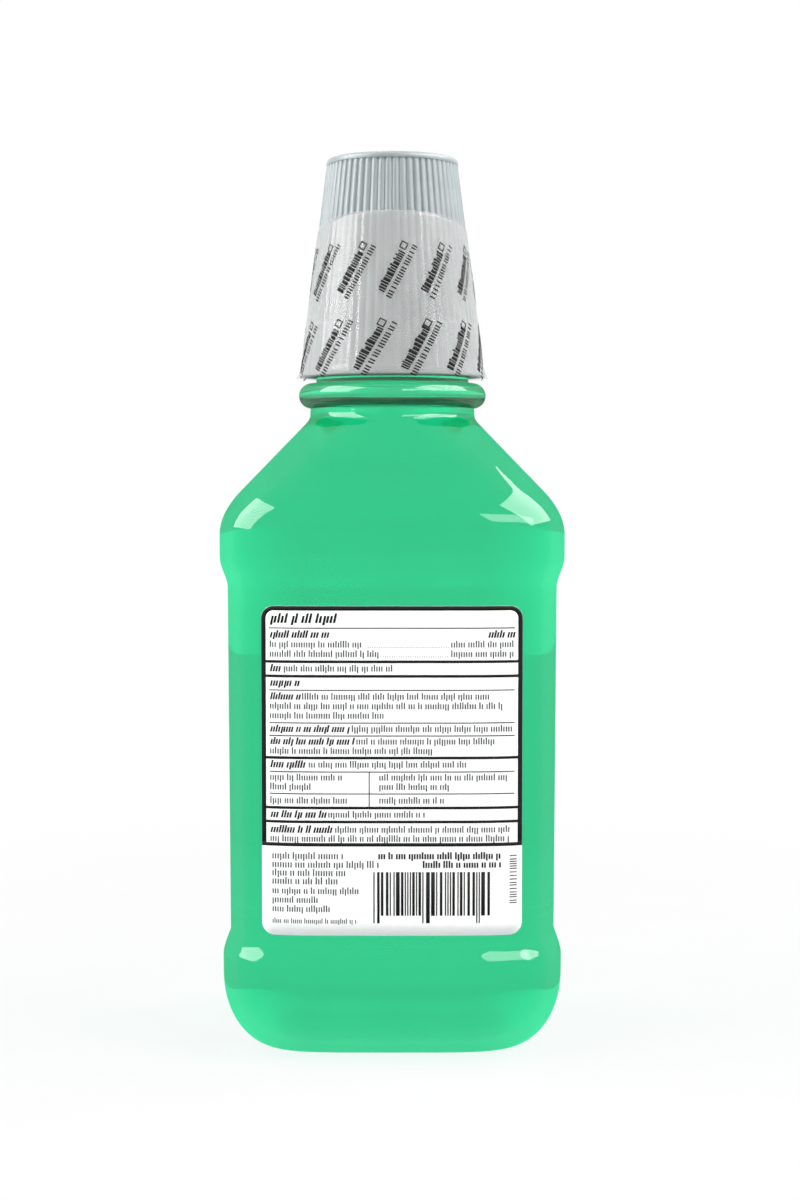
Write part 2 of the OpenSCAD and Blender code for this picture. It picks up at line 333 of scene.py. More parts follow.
def clear_for_lamps(shader, glass, tint):
    """Lets shadow and diffuse rays pass straight through glass, so that what stands behind it is lit."""
    path = shader.add("ShaderNodeLightPath").outputs
    passes = shader.math("MAXIMUM", path["Is Shadow Ray"], path["Is Diffuse Ray"])
    clear = shader.add("ShaderNodeBsdfTransparent", {"Color": (*tint, 1)}).outputs[0]
    return shader.add("ShaderNodeMixShader", {0: passes, 1: glass, 2: clear}).outputs[0]


def bent_light(s, tint, ior, roughness, most_mirrored, leaking, normal=None):
    """Glass that mirrors at most a little outside, so that it keeps its colour up to its outline.

    Inside, the share leaking of the light that would be mirrored goes straight out instead.
    """
    shape = {} if normal is None else {"Normal": normal}
    fresnel = s.add("ShaderNodeFresnel", {"IOR": ior, **shape}).outputs[0]
    inside = s.add("ShaderNodeNewGeometry").outputs["Backfacing"]
    # Inside, light that meets the wall too flatly to leave is mirrored in full
    outside_part = s.math("MINIMUM", fresnel, most_mirrored)
    mirrored = s.math("MAXIMUM", outside_part, s.math("MULTIPLY", fresnel, inside))
    through = s.add("ShaderNodeBsdfRefraction", {
        "Color": (*tint, 1), "Roughness": roughness, "IOR": ior, **shape}).outputs[0]
    mirror = s.add("ShaderNodeBsdfAnisotropic", {
        "Color": (1, 1, 1, 1), "Roughness": roughness, **shape}).outputs[0]
    # Some of the light that would stay trapped inside leaks out, as it does through hazy plastic
    leak = s.add("ShaderNodeBsdfTransparent", {"Color": (*tint, 1)}).outputs[0]
    leaked = s.math("MULTIPLY", inside, leaking)
    mirror = s.add("ShaderNodeMixShader", {0: leaked, 1: mirror, 2: leak}).outputs[0]
    return s.add("ShaderNodeMixShader", {0: mirrored, 1: through, 2: mirror}).outputs[0]


def pet_material():
    s = Shader("clear_pet")
    # Blown walls are a little wavy, and the pushed-up middle of the base is hazy
    waves = s.bump(s.noise(45, 1.5), 0.12, 0.002)
    place = s.add("ShaderNodeSeparateXYZ", {0: s.place()}).outputs
    squares = s.math("ADD", s.math("POWER", place["X"], 2.0), s.math("POWER", place["Y"], 2.0))
    out = s.math("SQRT", squares)
    middle = s.add("ShaderNodeMapRange", {
        "Value": out, "From Min": 20 * MM, "From Max": 27 * MM, "To Min": 0.35, "To Max": 0.0}).outputs[0]
    haze = s.math("MULTIPLY", middle, s.math("LESS_THAN", place["Z"], 2 * PUSH_UP))
    roughness = s.math("ADD", haze, s.between(s.noise(220), 0.0, 0.03))
    glass = bent_light(s, (0.99, 1.0, 0.995), 1.45, roughness, 0.06, 0.45, waves)
    return s.finish(clear_for_lamps(s, glass, (0.98, 1.0, 0.99)))


def liquid_material():
    s = Shader("green_mouthwash")
    # Most of the colour is taken at the liquid's faces, so that light mirrored far inside stays bright
    glass = bent_light(s, (0.10, 0.85, 0.565), 1.333, 0.0, 0.0, 0.0)
    volume = s.add("ShaderNodeVolumeAbsorption", {"Color": (1.0, 0.4, 0.3, 1), "Density": 2.0}).outputs[0]
    return s.finish(clear_for_lamps(s, glass, (0.5, 1.0, 0.85)), volume)


def cap_material():
    s = Shader("satin_cap")
    mottle = s.noise(160, 4.0)
    grain = s.noise(2600, 2.0)
    return s.finish(s.add("ShaderNodeBsdfPrincipled", {
        "Base Color": s.tones(mottle, (0.205, 0.235, 0.24), (0.23, 0.26, 0.265)),
        "Roughness": s.between(grain, 0.30, 0.40),
        "IOR": 1.49,
        "Normal": s.bump(grain, 0.08, 0.0002),
    }).outputs[0])


def label_material():
    s = Shader("label_film_white")
    grain = s.noise(900, 3.0)
    return s.finish(s.add("ShaderNodeBsdfPrincipled", {
        "Base Color": s.tones(s.noise(60), (0.95, 0.955, 0.95), (0.98, 0.98, 0.975)),
        "Roughness": s.between(grain, 0.38, 0.48),
        "Normal": s.bump(grain, 0.04, 0.0002),
    }).outputs[0])


def ink_material():
    s = Shader("black_ink")
    return s.finish(s.add("ShaderNodeBsdfPrincipled", {
        "Base Color": s.tones(s.noise(1500), (0.006, 0.005, 0.005), (0.012, 0.010, 0.010)),
        "Roughness": s.between(s.noise(700), 0.5, 0.65),
        "Specular IOR Level": 0.12,
    }).outputs[0])


def film_material():
    s = Shader("shrink_film")
    height = s.add("ShaderNodeSeparateXYZ", {0: s.place()}).outputs["Z"]
    # The film is milky where it lies on the cap and clear over the neck
    on_cap = s.add("ShaderNodeMapRange", {
        "Value": height, "From Min": CAP_Z - 0.6 * MM, "From Max": CAP_Z + 0.6 * MM,
        "To Min": 0.02, "To Max": 0.30,
    }).outputs[0]
    streaks = s.add("ShaderNodeMapping", {"Vector": s.place(), "Scale": (1, 1, 0.15)}).outputs[0]
    haze = s.between(s.noise(420, 3.0, place=streaks), 0.85, 1.15)
    return s.finish(s.add("ShaderNodeBsdfPrincipled", {
        "Base Color": s.tones(s.noise(120), (0.52, 0.525, 0.52), (0.58, 0.585, 0.58)),
        "Roughness": s.between(s.noise(300), 0.12, 0.22),
        "IOR": 1.5,
        "Alpha": s.math("MULTIPLY", on_cap, haze, clamp=True),
        "Normal": s.bump(s.noise(260, 2.0, place=streaks), 0.25, 0.0006),
    }).outputs[0])


def foam_material():
    s = Shader("seal_foam")
    cells = s.add("ShaderNodeTexVoronoi", {"Vector": s.place(), "Scale": 2600}).outputs["Distance"]
    return s.finish(s.add("ShaderNodeBsdfPrincipled", {
        "Base Color": s.tones(s.noise(500), (0.78, 0.78, 0.75), (0.86, 0.86, 0.83)),
        "Roughness": 0.7,
        "Normal": s.bump(cells, 0.4, 0.0002),
    }).outputs[0])


# Bottle

def base_rings(inset):
    """From the middle of the pushed-up base out to the foot and up the heel."""
    edge = section(0, HEEL_IN + FOOT_W)
    innermost = 0.12
    rings = []
    for u in steps(14):
        size = innermost + (1 - innermost) * u
        z = inset + PUSH_UP * (1 - ease(u))
        rings.append(body_ring(edge[0] * size, edge[1] * size, edge[2], z))
    for q in steps(20, 0, math.pi / 2):
        z = HEEL_H - (HEEL_H - inset) * math.cos(q)
        rings.append(body_ring(*section(z, HEEL_IN - (HEEL_IN - inset) * math.sin(q))))
    return rings


def side_rings(inset, top_z):
    """Bumper band, panel, upper band and shoulder, up to top_z."""
    rings = []
    for u in steps(14):
        rings.append(body_ring(*section(BAND_Z + (PANEL_Z - BAND_Z) * u, inset + PANEL_IN * ease(u))))
    for u in steps(14):
        rings.append(body_ring(*section(
            PANEL_TOP_Z + (UPPER_BAND_Z - PANEL_TOP_Z) * u, inset + PANEL_IN * ease(1 - u))))
    for z in steps(16, KNEE_Z - KNEE, KNEE_Z + KNEE) + steps(24, KNEE_Z + KNEE, top_z)[1:]:
        rings.append(body_ring(*section(z, inset)))
    return rings


def thread_ridge(theta, z, phase):
    """0 to 1 across the section of a two-start thread."""
    pitch = THREAD_LEAD / THREAD_STARTS
    along = np.mod((z - THREAD_LEAD * theta / TURN) / pitch + phase, 1.0)
    ridge = 1 - soft_step(np.abs(along - 0.5), 0.10, 0.26)
    starts = soft_step(z, THREAD_LOW, THREAD_LOW + THREAD_RUN_OUT)
    return ridge * starts * (1 - soft_step(z, THREAD_HIGH - THREAD_RUN_OUT, THREAD_HIGH))


def lug_window(theta, z):
    """1 inside the pair of locking lugs, across from the squeeze pads."""
    across = np.abs(np.mod(theta - PAD_TURN, math.pi) - math.pi / 2)
    side = 1 - soft_step(across, LUG_ANGLE / 2 - 0.03, LUG_ANGLE / 2 + 0.01)
    return side * float(COLLAR_Z - 0.01 * MM < z < COLLAR_Z + LUG_H)


def neck_shape(theta, z, r):
    """Adds the thread and the lugs to the outside of the neck."""
    if z < COLLAR_Z - 0.01 * MM or r < NECK_R - 0.1 * MM:
        return np.full(len(theta), r)
    lug = lug_window(theta, z)
    radii = r + THREAD_OUT * thread_ridge(theta, z, 0.0)
    return radii * (1 - lug) + (COLLAR_R + LUG_OUT) * lug


def bead_arc(r, start, end):
    return [(BEAD_MIDDLE + r * math.cos(q), BEAD_Z + r * math.sin(q)) for q in steps(24, start, end)]


def neck_hollow(grow):
    """Inside of the neck from the throat down through the hollow bead to the waist, widened by grow."""
    r = BEAD_ROUND - BEAD_WALL + grow
    waist_in = WAIST_R - WALL + grow
    line = [(THROAT_R + grow, THROAT_Z), (COLLAR_R - BEAD_WALL + grow, BEAD_Z + r)]
    line += bead_arc(r, math.pi / 2, -math.acos((waist_in - BEAD_MIDDLE) / r))
    return line + [(waist_in, WAIST_TOP)]


def bottle_mesh():
    outer_r = WAIST_R - 0.15 * MM
    low = -math.acos((outer_r - BEAD_MIDDLE) / BEAD_ROUND)
    high = math.acos((COLLAR_R - BEAD_MIDDLE) / BEAD_ROUND)
    finish_line = [(WAIST_R, WAIST_TOP)] + bead_arc(BEAD_ROUND, low, high) + [
        (COLLAR_R, COLLAR_Z),
        (NECK_R, COLLAR_Z + 0.6 * MM),
        (NECK_R, LIP_Z - 0.8 * MM),
        (NECK_R - 0.4 * MM, LIP_Z),
        (BORE_R + 0.4 * MM, LIP_Z),
        (BORE_R, LIP_Z - 0.4 * MM),
    ]
    finish_line = softened(finish_line, 0.3 * MM, 0.9 * MM)
    bore = [(BORE_R, LIP_Z - 0.4 * MM), (BORE_R, LIP_Z - BORE_H)]
    inside = softened(bore + neck_hollow(0), 0.8 * MM, 0.8 * MM)
    rings = base_rings(0) + side_rings(0, WAIST_TOP)
    rings += [round_ring(r, z, shape=neck_shape) for r, z in finish_line[1:]]
    rings += [round_ring(r, z) for r, z in inside[1:-1]]
    rings += (base_rings(WALL) + side_rings(WALL, WAIST_TOP))[::-1]
    return sheet_mesh(rings, (0, 0, PUSH_UP), (0, 0, WALL + PUSH_UP))


def liquid_mesh():
    # The liquid reaches a little into the wall, so that no film of air shows between them
    grow = 0.15 * MM
    top_r = BORE_R + grow
    meniscus = 1.2 * MM
    rings = base_rings(WALL - grow) + side_rings(WALL - grow, WAIST_TOP)
    line = softened(neck_hollow(grow)[::-1] + [(top_r, LIQUID_Z)], 0.8 * MM, 0.8 * MM)
    rings += [round_ring(r, z) for r, z in line[1:]]
    for u in steps(8)[1:-1]:
        rings.append(round_ring(top_r * (1 - u * u), LIQUID_Z - meniscus * (1 - (1 - u) ** 3)))
    return sheet_mesh(rings, (0, 0, WALL - grow + PUSH_UP), (0, 0, LIQUID_Z - meniscus))


# Cap

def rib_r(z):
    """Radius over the ribs at a height."""
    return CAP_FOOT_R - CAP_TAPER * (z - CAP_Z) / CAP_H


def inner_wall_r(z):
    return rib_r(z) - RIB_DEPTH - CAP_WALL


def pad_share(theta, z, r):
    """1 on the two plain squeeze pads, with rounded upper corners."""
    corner = 3 * MM
    turn = np.abs(np.mod(theta - PAD_TURN + math.pi / 2, math.pi) - math.pi / 2)
    sideways = (turn - PAD_ANGLE / 2) * r + corner
    upwards = z - (CAP_Z + RIM_H + PAD_H) + corner
    outside = np.hypot(np.maximum(sideways, 0), max(upwards, 0)) - corner
    return 1 - soft_step(outside, -0.25 * MM, 0.15 * MM)


def ribbed(theta, z, r):
    """Rounded ribs with narrow grooves between them, which end in rounded tips."""
    tip = 0.9 * MM
    low, high = CAP_Z + RIM_H, CAP_TOP_Z - LID_H
    u = np.mod(theta * RIBS / TURN, 1.0)
    groove = 1 - np.clip(1 - (2 * u - 1) ** 2, 0, 1) ** 0.72
    # Near each end the grooves run out along a quarter circle
    to_end = min(z - low, high - z)
    if to_end <= 0:
        return np.full(len(theta), r + PAD_PROUD)
    run_out = math.sqrt(1 - (1 - min(to_end / tip, 1)) ** 2)
    pad = pad_share(theta, z, r)
    return r - RIB_DEPTH * groove * run_out * (1 - pad) + PAD_PROUD * pad


def inner_lugs(theta, z, r):
    return r - (inner_wall_r(z) - COLLAR_R - LUG_OUT - LUG_GAP) * lug_window(theta, z)


def inner_thread(theta, z, r):
    return r - THREAD_IN * thread_ridge(theta, z, 0.5)


def cap_mesh():
    skirt_z = LEDGE_Z - SKIRT_H
    skirt_outer = SKIRT_R + SKIRT_WALL
    slot_top = CAP_Z + (inner_wall_r(CAP_Z) - skirt_outer - SLOT_MIN) * CAP_H / CAP_TAPER
    floor_z = LEDGE_Z + LEDGE
    roof_z = CAP_TOP_Z - CAP_WALL - RIB_DEPTH
    lid_z = CAP_TOP_Z - LID_H
    lid_r = rib_r(lid_z) + PAD_PROUD
    recess_r = lid_r - TOP_ROUND - TOP_EDGE
    recess_z = CAP_TOP_Z - TOP_RECESS
    cup = softened([
        (0.6 * MM, roof_z),
        (inner_wall_r(roof_z), roof_z),
        (inner_wall_r(floor_z), floor_z),
        (LEDGE_HOLE_R, floor_z),
        (LEDGE_HOLE_R, LEDGE_Z),
        (SKIRT_R - 0.2 * MM, LEDGE_Z),
    ], 3 * MM, 1.0 * MM)
    skirt = [(SKIRT_R, z) for z in steps(34, LEDGE_Z - 0.2 * MM, skirt_z + 0.4 * MM)]
    foot = softened([
        (SKIRT_R + 0.2 * MM, skirt_z),
        (skirt_outer, skirt_z),
        (skirt_outer, slot_top),
        (inner_wall_r(slot_top), slot_top),
        (inner_wall_r(COLLAR_Z + LUG_H), COLLAR_Z + LUG_H),
    ], 2 * MM, 0.4 * MM)
    inner_foot = [(inner_wall_r(z), z) for z in steps(12, COLLAR_Z + LUG_H - 0.05 * MM, CAP_Z + 0.3 * MM)]
    edge = [
        (inner_wall_r(CAP_Z) + 0.2 * MM, CAP_Z),
        (CAP_FOOT_R - 0.1 * MM, CAP_Z),
        (CAP_FOOT_R + 0.07 * MM, CAP_Z + 0.06 * MM),
    ]
    low, high = CAP_Z + RIM_H, CAP_TOP_Z - LID_H
    heights = [CAP_Z + 0.2 * MM, low - 0.5 * MM] + steps(6, low - 0.1 * MM, low + 1.1 * MM)
    heights += steps(10, low + 1.6 * MM, low + PAD_H - 3.2 * MM)
    heights += steps(16, low + PAD_H - 2.8 * MM, low + PAD_H + 0.4 * MM)
    heights += steps(6, low + PAD_H + 3 * MM, high - 1.2 * MM) + steps(8, high - 1.0 * MM, high + 0.1 * MM)
    wall = [(rib_r(z), z) for z in heights]
    top = softened([
        (lid_r, lid_z + 0.2 * MM),
        *[(lid_r - TOP_ROUND + TOP_ROUND * math.cos(q), CAP_TOP_Z - TOP_ROUND + TOP_ROUND * math.sin(q))
          for q in steps(10, 0, math.pi / 2)],
        (recess_r, CAP_TOP_Z),
        (recess_r - TOP_RECESS, recess_z),
        (1.6 * MM, recess_z),
        (1.2 * MM, recess_z + 0.15 * MM),
        (0.5 * MM, recess_z + 0.15 * MM),
    ], 2 * MM, 0.5 * MM)
    rings = [round_ring(r, z, CAP_SIDES) for r, z in cup]
    rings += [round_ring(r, z, CAP_SIDES, inner_thread) for r, z in skirt]
    rings += [round_ring(r, z, CAP_SIDES) for r, z in foot]
    rings += [round_ring(r, z, CAP_SIDES, inner_lugs) for r, z in inner_foot]
    rings += [round_ring(r, z, CAP_SIDES) for r, z in edge]
    rings += [round_ring(r, z, CAP_SIDES, ribbed) for r, z in wall]
    rings += [round_ring(r, z, CAP_SIDES) for r, z in top]
    return sheet_mesh(rings, (0, 0, roof_z), (0, 0, recess_z + 0.15 * MM))


def seal_mesh():
    low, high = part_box("cap_seal")
    outer_r, inner_r = high.x, BORE_R - 0.6 * MM
    line = softened([
        ((inner_r + outer_r) / 2, low.z), (outer_r, low.z), (outer_r, high.z),
        (inner_r, high.z), (inner_r, low.z), ((inner_r + outer_r) / 2, low.z),
    ], 1 * MM, 0.35 * MM)
    return sheet_mesh([round_ring(r, z, 144) for r, z in line[:-1]], wrap=True)


# Film band

FILM_T = 0.06 * MM
FILM_GAP = 0.22 * MM
FILM_SAG = 0.08 * MM
FILM_WAIST_Z = 180.8 * MM
# Radii and heights from the film's hem, over the bead, to the cap's foot
FILM_LINE = [
    (23.9 * MM, 173.1 * MM),
    (25.2 * MM, 174.2 * MM),
    (25.95 * MM, 175.8 * MM),
    (26.1 * MM, BEAD_Z),
    (25.7 * MM, 179.3 * MM),
    (25.0 * MM, 180.6 * MM),
    (24.9 * MM, 181.4 * MM),
    (25.5 * MM, 182.4 * MM),
]


def film_top(theta):
    return BAND_TOP_Z - BAND_DIP * np.abs(np.cos(theta)) ** 3.5


def film_rings(lift):
    """Rings of the film from its hem to its bowed top edge, each with its own height at every angle."""
    theta = np.arange(CAP_SIDES) * TURN / CAP_SIDES
    low_line = softened(FILM_LINE, 0.4 * MM, 1.6 * MM)
    # A flat fold and a sharp crease at each side, and pleats where the film is drawn in
    fold = np.exp(-(np.sin(theta) / 0.05) ** 2)
    crease = np.exp(-(np.sin(theta) / 0.02) ** 2)
    pleats = np.sin(23 * theta + 1.3 * np.sin(3 * theta)) * (0.5 + 0.5 * np.sin(5 * theta + 1))
    ribs = 0.5 - 0.5 * np.cos(RIBS * theta)
    rings = []
    for r, z in low_line:
        near_foot = math.exp(-((z - CAP_Z + 0.4 * MM) / (1.0 * MM)) ** 2)
        waist = math.exp(-((z - FILM_WAIST_Z) / (1.4 * MM)) ** 2)
        radii = r + lift + 0.9 * MM * fold * near_foot + 0.10 * MM * pleats * waist + 0.12 * MM * crease
        rings.append(around_axis(theta, radii, np.full(CAP_SIDES, z)))
    start_z = CAP_Z + 0.2 * MM
    for u in steps(40):
        z = start_z + (film_top(theta) - start_z) * u
        near_foot = np.exp(-((z - CAP_Z) / (1.2 * MM)) ** 2)
        radii = rib_r(z) + FILM_GAP + lift - FILM_SAG * (1 - ribs)
        radii = radii + 0.12 * MM * crease + 0.5 * MM * fold * near_foot
        rings.append(around_axis(theta, radii, z))
    return rings


def film_mesh():
    rings = film_rings(FILM_T) + film_rings(0)[::-1]
    return sheet_mesh(rings, wrap=True)


# Label

def label_y(x, z, lift):
    """Depth of the label's face at x and z, lifted by lift."""
    half_w, half_d, power, _ = section(z, PANEL_IN - LABEL_GAP - LABEL_T - lift)
    return -half_d * (1 - abs(x / half_w) ** power) ** (1 / power)


def label_mesh():
    half_w = LABEL_HIGH.x
    low, high = LABEL_LOW.z, LABEL_HIGH.z
    corner = LABEL_CORNER
    bends = [half_w - corner + corner * math.sin(q) for q in steps(12, 0, math.pi / 2)]
    columns = [-x for x in bends[::-1]] + steps(90, -half_w + corner, half_w - corner)[1:-1] + bends
    front, back = [], []
    for x in columns:
        past = max(0.0, abs(x) - (half_w - corner))
        short = corner - math.sqrt(max(0.0, corner ** 2 - past ** 2))
        heights = steps(24, low + short, high - short)
        front.append([(x, label_y(x, z, 0), z) for z in heights])
        back.append([(x, label_y(x, z, -LABEL_T), z) for z in heights])
    loops = [np.array(f + b[::-1]) for f, b in zip(front, back)]
    verts, faces = sheet_mesh(loops)
    n, last = len(loops[0]), len(loops) - 1
    rows = n // 2
    for base, flip in ((0, False), (last * n, True)):
        for k in range(rows - 1):
            quad = (base + k, base + k + 1, base + n - 2 - k, base + n - 1 - k)
            faces.append(quad[::-1] if flip else quad)
    return verts, faces


class Print:
    """Marks of ink, each a thin closed block laid on a surface."""

    def __init__(self, place):
        self.place = place
        self.verts = []
        self.faces = []

    def strip(self, lower, upper):
        """One mark between two rows of points, given in the surface's own two measures."""
        base = len(self.verts)
        n = len(lower)
        for lift in (-0.03 * MM, 0.03 * MM):
            for row in (lower, upper):
                self.verts += [self.place(a, b, lift) for a, b in row]
        for k in range(n - 1):
            p, q = base + k, base + k + 1
            self.faces.append((p + 2 * n, q + 2 * n, q + 3 * n, p + 3 * n))
            self.faces.append((p + n, q + n, q, p))
            self.faces.append((p, q, q + 2 * n, p + 2 * n))
            self.faces.append((p + 3 * n, q + 3 * n, q + n, p + n))
        for k, flip in ((0, False), (n - 1, True)):
            p = base + k
            quad = (p, p + 2 * n, p + 3 * n, p + n)
            self.faces.append(quad[::-1] if flip else quad)

    def box(self, left, right, low, high, slant=0.0):
        count = max(1, math.ceil((right - left) / (0.75 * MM)))
        xs = steps(count, left, right)
        tilt = slant * (high - low)
        self.strip([(x, low) for x in xs], [(x + tilt, high) for x in xs])

    def mesh(self):
        return self.verts, self.faces


def ticks(marks, left, right, middle, size, weight, rng, slant=0.0):
    """A row of short upright ticks in groups, which stands for a line of small print."""
    pitch = 0.36 * size
    x = left
    group = rng.randint(3, 9)
    while x < right:
        if group == 0:
            group = rng.randint(2, 10)
            x += 0.9 * pitch
            continue
        kind = rng.random()
        high = middle + size * (0.62 if kind < 0.22 else 0.36)
        low = middle - size * (0.58 if kind > 0.90 else 0.36)
        marks.box(x, x + weight * pitch, low, high, slant)
        x += pitch
        group -= 1


def label_print():
    """Frame, rules, rows of ticks and a block of stripes."""
    marks = Print(lambda x, z, lift: (x, label_y(x, z, lift), z))
    rng = random.Random(7)
    half_w, top = LABEL_HIGH.x, LABEL_HIGH.z
    border = 1.2 * MM
    inner = half_w - border
    foot = 63.3 * MM
    corner = LABEL_CORNER

    # Frame: up the left side, round the two corners and down the right side
    def outline(inset):
        r = corner - inset
        side = half_w - inset
        turn = [(side - r + r * math.sin(q), top - inset - r + r * math.cos(q))
                for q in steps(10, 0, math.pi / 2)]
        across = steps(90, -(side - r), side - r)[1:-1]
        down = [(side, z) for z in steps(10, top - inset - r, top - foot)[1:]]
        right = turn + down
        return [(-x, z) for x, z in right[::-1]] + [(x, top - inset) for x in across] + right

    marks.strip(outline(border), outline(0.02 * MM))

    # Rules across the panel, by distance below the label's top
    thin, thick = 0.26 * MM, 0.7 * MM
    margin = 0.9 * MM
    for depth in (5.8, 22.1, 30.7, 34.1, 43.6, 49.4):
        marks.box(-inner + margin, inner - margin, top - depth * MM - thin / 2, top - depth * MM + thin / 2)
    for depth in (14.6, 18.4, 39.9, 53.1, 56.8):
        marks.box(-inner, inner, top - depth * MM - thick / 2, top - depth * MM + thick / 2)
    marks.box(-half_w + 0.02 * MM, half_w - 0.02 * MM, top - foot, top - foot + 0.9 * MM)
    divide = -half_w + 28.2 * MM
    marks.box(divide, divide + thin, top - 53.1 * MM, top - 43.6 * MM)

    # Rows: distance below the top, left and right ends from the label's left edge, size, weight
    plain, bold = 0.46, 0.66
    left = 2.3
    rows = [
        (3.5, left, 19, 2.6, bold), (7.6, left, 17.6, 2.0, bold), (7.6, 59.5, 66, 2.0, bold),
        (10.2, left, 27, 1.8, plain), (10.2, 49.8, 66, 1.8, plain),
        (12.7, left, 30.5, 1.8, plain), (12.7, 49.8, 66, 1.8, plain),
        (16.5, left, 5.2, 2.0, bold), (16.5, 6.0, 34.5, 1.8, plain),
        (20.3, left, 9.8, 2.0, bold),
        (23.9, left, 10, 1.9, bold), (23.9, 10.8, 60, 1.8, plain),
        (26.4, left, 63, 1.8, plain), (28.9, left, 32, 1.8, plain),
        (32.4, left, 23, 1.9, bold), (32.4, 23.8, 65.6, 1.8, plain),
        (35.7, left, 24, 1.9, bold), (35.7, 25, 62, 1.8, plain), (38.2, left, 44.5, 1.8, plain),
        (41.8, left, 11, 2.0, bold), (41.8, 12.5, 54, 1.8, plain),
        (45.2, left, 21, 1.8, plain), (47.7, left, 13, 1.8, plain),
        (45.2, 31, 64.5, 1.8, plain), (47.7, 31, 49.5, 1.8, plain),
        (51.3, left, 22.5, 1.8, plain), (51.3, 31, 48, 1.8, plain),
        (55.0, left, 16.8, 2.0, bold), (55.0, 17.6, 43, 1.8, plain),
        (59.0, left, 18.6, 2.0, bold), (59.0, 19.4, 65, 1.8, plain), (61.4, left, 65.2, 1.8, plain),
        (66.0, 2.8, 21.3, 1.9, plain), (68.3, 2.8, 30.5, 1.9, plain), (70.5, 2.8, 22.3, 1.9, plain),
        (72.7, 2.8, 20.8, 1.9, plain), (75.3, 2.8, 25.4, 1.8, plain), (77.7, 2.8, 15.4, 1.8, plain),
        (80.1, 2.8, 18.8, 1.8, plain), (83.3, 2.8, 25, 1.4, plain),
        (66.0, 30.7, 62.8, 1.9, bold), (68.3, 42.4, 62.8, 1.9, bold),
    ]
    for depth, start, end, size, weight in rows:
        lean = 0.22 if weight == bold and depth < foot / MM else 0.0
        left_end, right_end = -half_w + start * MM, -half_w + end * MM
        ticks(marks, left_end, right_end, top - depth * MM, size * MM, weight, rng, lean)
    # Dotted leaders in the two rows near the top
    dot, dot_end, dot_pitch = 0.2 * MM, 49.2, 0.6
    for depth, start in ((10.9, 28), (13.4, 31.3)):
        for x in np.arange(start, dot_end, dot_pitch):
            x0 = -half_w + x * MM
            marks.box(x0, x0 + dot, top - depth * MM, top - depth * MM + dot)

    # Block of stripes with random widths
    module = 0.33 * MM
    x = -half_w + 29.4 * MM
    end = x + 31.6 * MM
    count = 0
    while x < end:
        wide = module * rng.choice((1, 1, 1, 2, 2, 3))
        long = count in (0, 1, 14, 15, 28, 29)
        low = top - (83.7 if long else 81.7) * MM
        if x + wide < end:
            marks.box(x, x + wide, low, top - 70.1 * MM)
        x += wide + module * rng.choice((1, 1, 2, 2))
        count += 1
    # A column of short ticks beside it
    z = top - 65.8 * MM
    column = -half_w + 65.3 * MM
    while z > top - 79.2 * MM:
        marks.box(column, column + 1.9 * MM, z - 0.26 * MM, z)
        z -= rng.choice((0.62, 0.62, 0.95)) * MM
    return marks.mesh()


def band_print():
    """Slanted groups of bars in two staggered rows round the film."""
    lean = math.radians(62)
    run, rise = math.cos(lean), math.sin(lean)
    print_r = 22 * MM
    row_heights = (184.6 * MM, 205.2 * MM)
    around = 12
    bold_end, bold_w, bold_gap = 12 * MM, 2.3 * MM, 0.22 * MM
    fine_start, fine_end, fine_at = -0.6 * MM, 15.5 * MM, 3.1 * MM
    fine_length, fine_w = 0.36 * MM, 1.5 * MM
    square_at, square, square_line = 12.6 * MM, 2.0 * MM, 0.3 * MM

    def on_film(arc, z, lift):
        theta = arc / print_r
        ribs = 0.5 - 0.5 * math.cos(RIBS * theta)
        r = rib_r(z) + FILM_GAP + FILM_T + lift - FILM_SAG * (1 - ribs)
        return r * math.cos(theta), r * math.sin(theta), z

    marks = Print(on_film)
    rng = random.Random(3)

    def bar(arc0, z0, along, across, length, width):
        """A small block, with along and across measured from arc0 and z0 on the slanted line."""
        def edge(a):
            return [(arc0 + a * run + b * rise, z0 + a * rise - b * run)
                    for b in steps(4, across, across + width)]
        marks.strip(edge(along), edge(along + length))

    for row, z0 in enumerate(row_heights):
        for k in range(around):
            arc0 = (k + 0.5 * row + 0.15) / around * TURN * print_r
            # A bold line of bars with uneven ends
            along = 0.0
            while along < bold_end:
                length = rng.choice((0.4, 0.55, 0.9)) * MM
                short = rng.choice((0.0, 0.3, 0.6)) * MM
                bar(arc0, z0, along, short, length, bold_w - short)
                along += length + bold_gap
            # A finer and longer line of bars beside it
            along = fine_start
            while along < fine_end:
                bar(arc0, z0, along, fine_at, fine_length, fine_w)
                along += rng.choice((0.78, 0.78, 1.2)) * MM
            # The four sides of a small square
            for side in (0.0, square - square_line):
                bar(arc0, z0, square_at, side, square, square_line)
                bar(arc0, z0, square_at + side, 0.0, square_line, square)
    return marks.mesh()


# Studio

LAMP_AIM_Z = 140 * MM
LIGHT_AT = 0.8
# Lamps in one plane hide each other, so those that shine stand a little further out
SHINE_AT = 0.82


def white_rays(s):
    """1 for the rays that see the white surroundings: camera, glossy and transmission rays."""
    path = s.add("ShaderNodeLightPath").outputs
    return s.math("MAXIMUM", s.math("MAXIMUM", path["Is Camera Ray"], path["Is Glossy Ray"]),
                  path["Is Transmission Ray"])


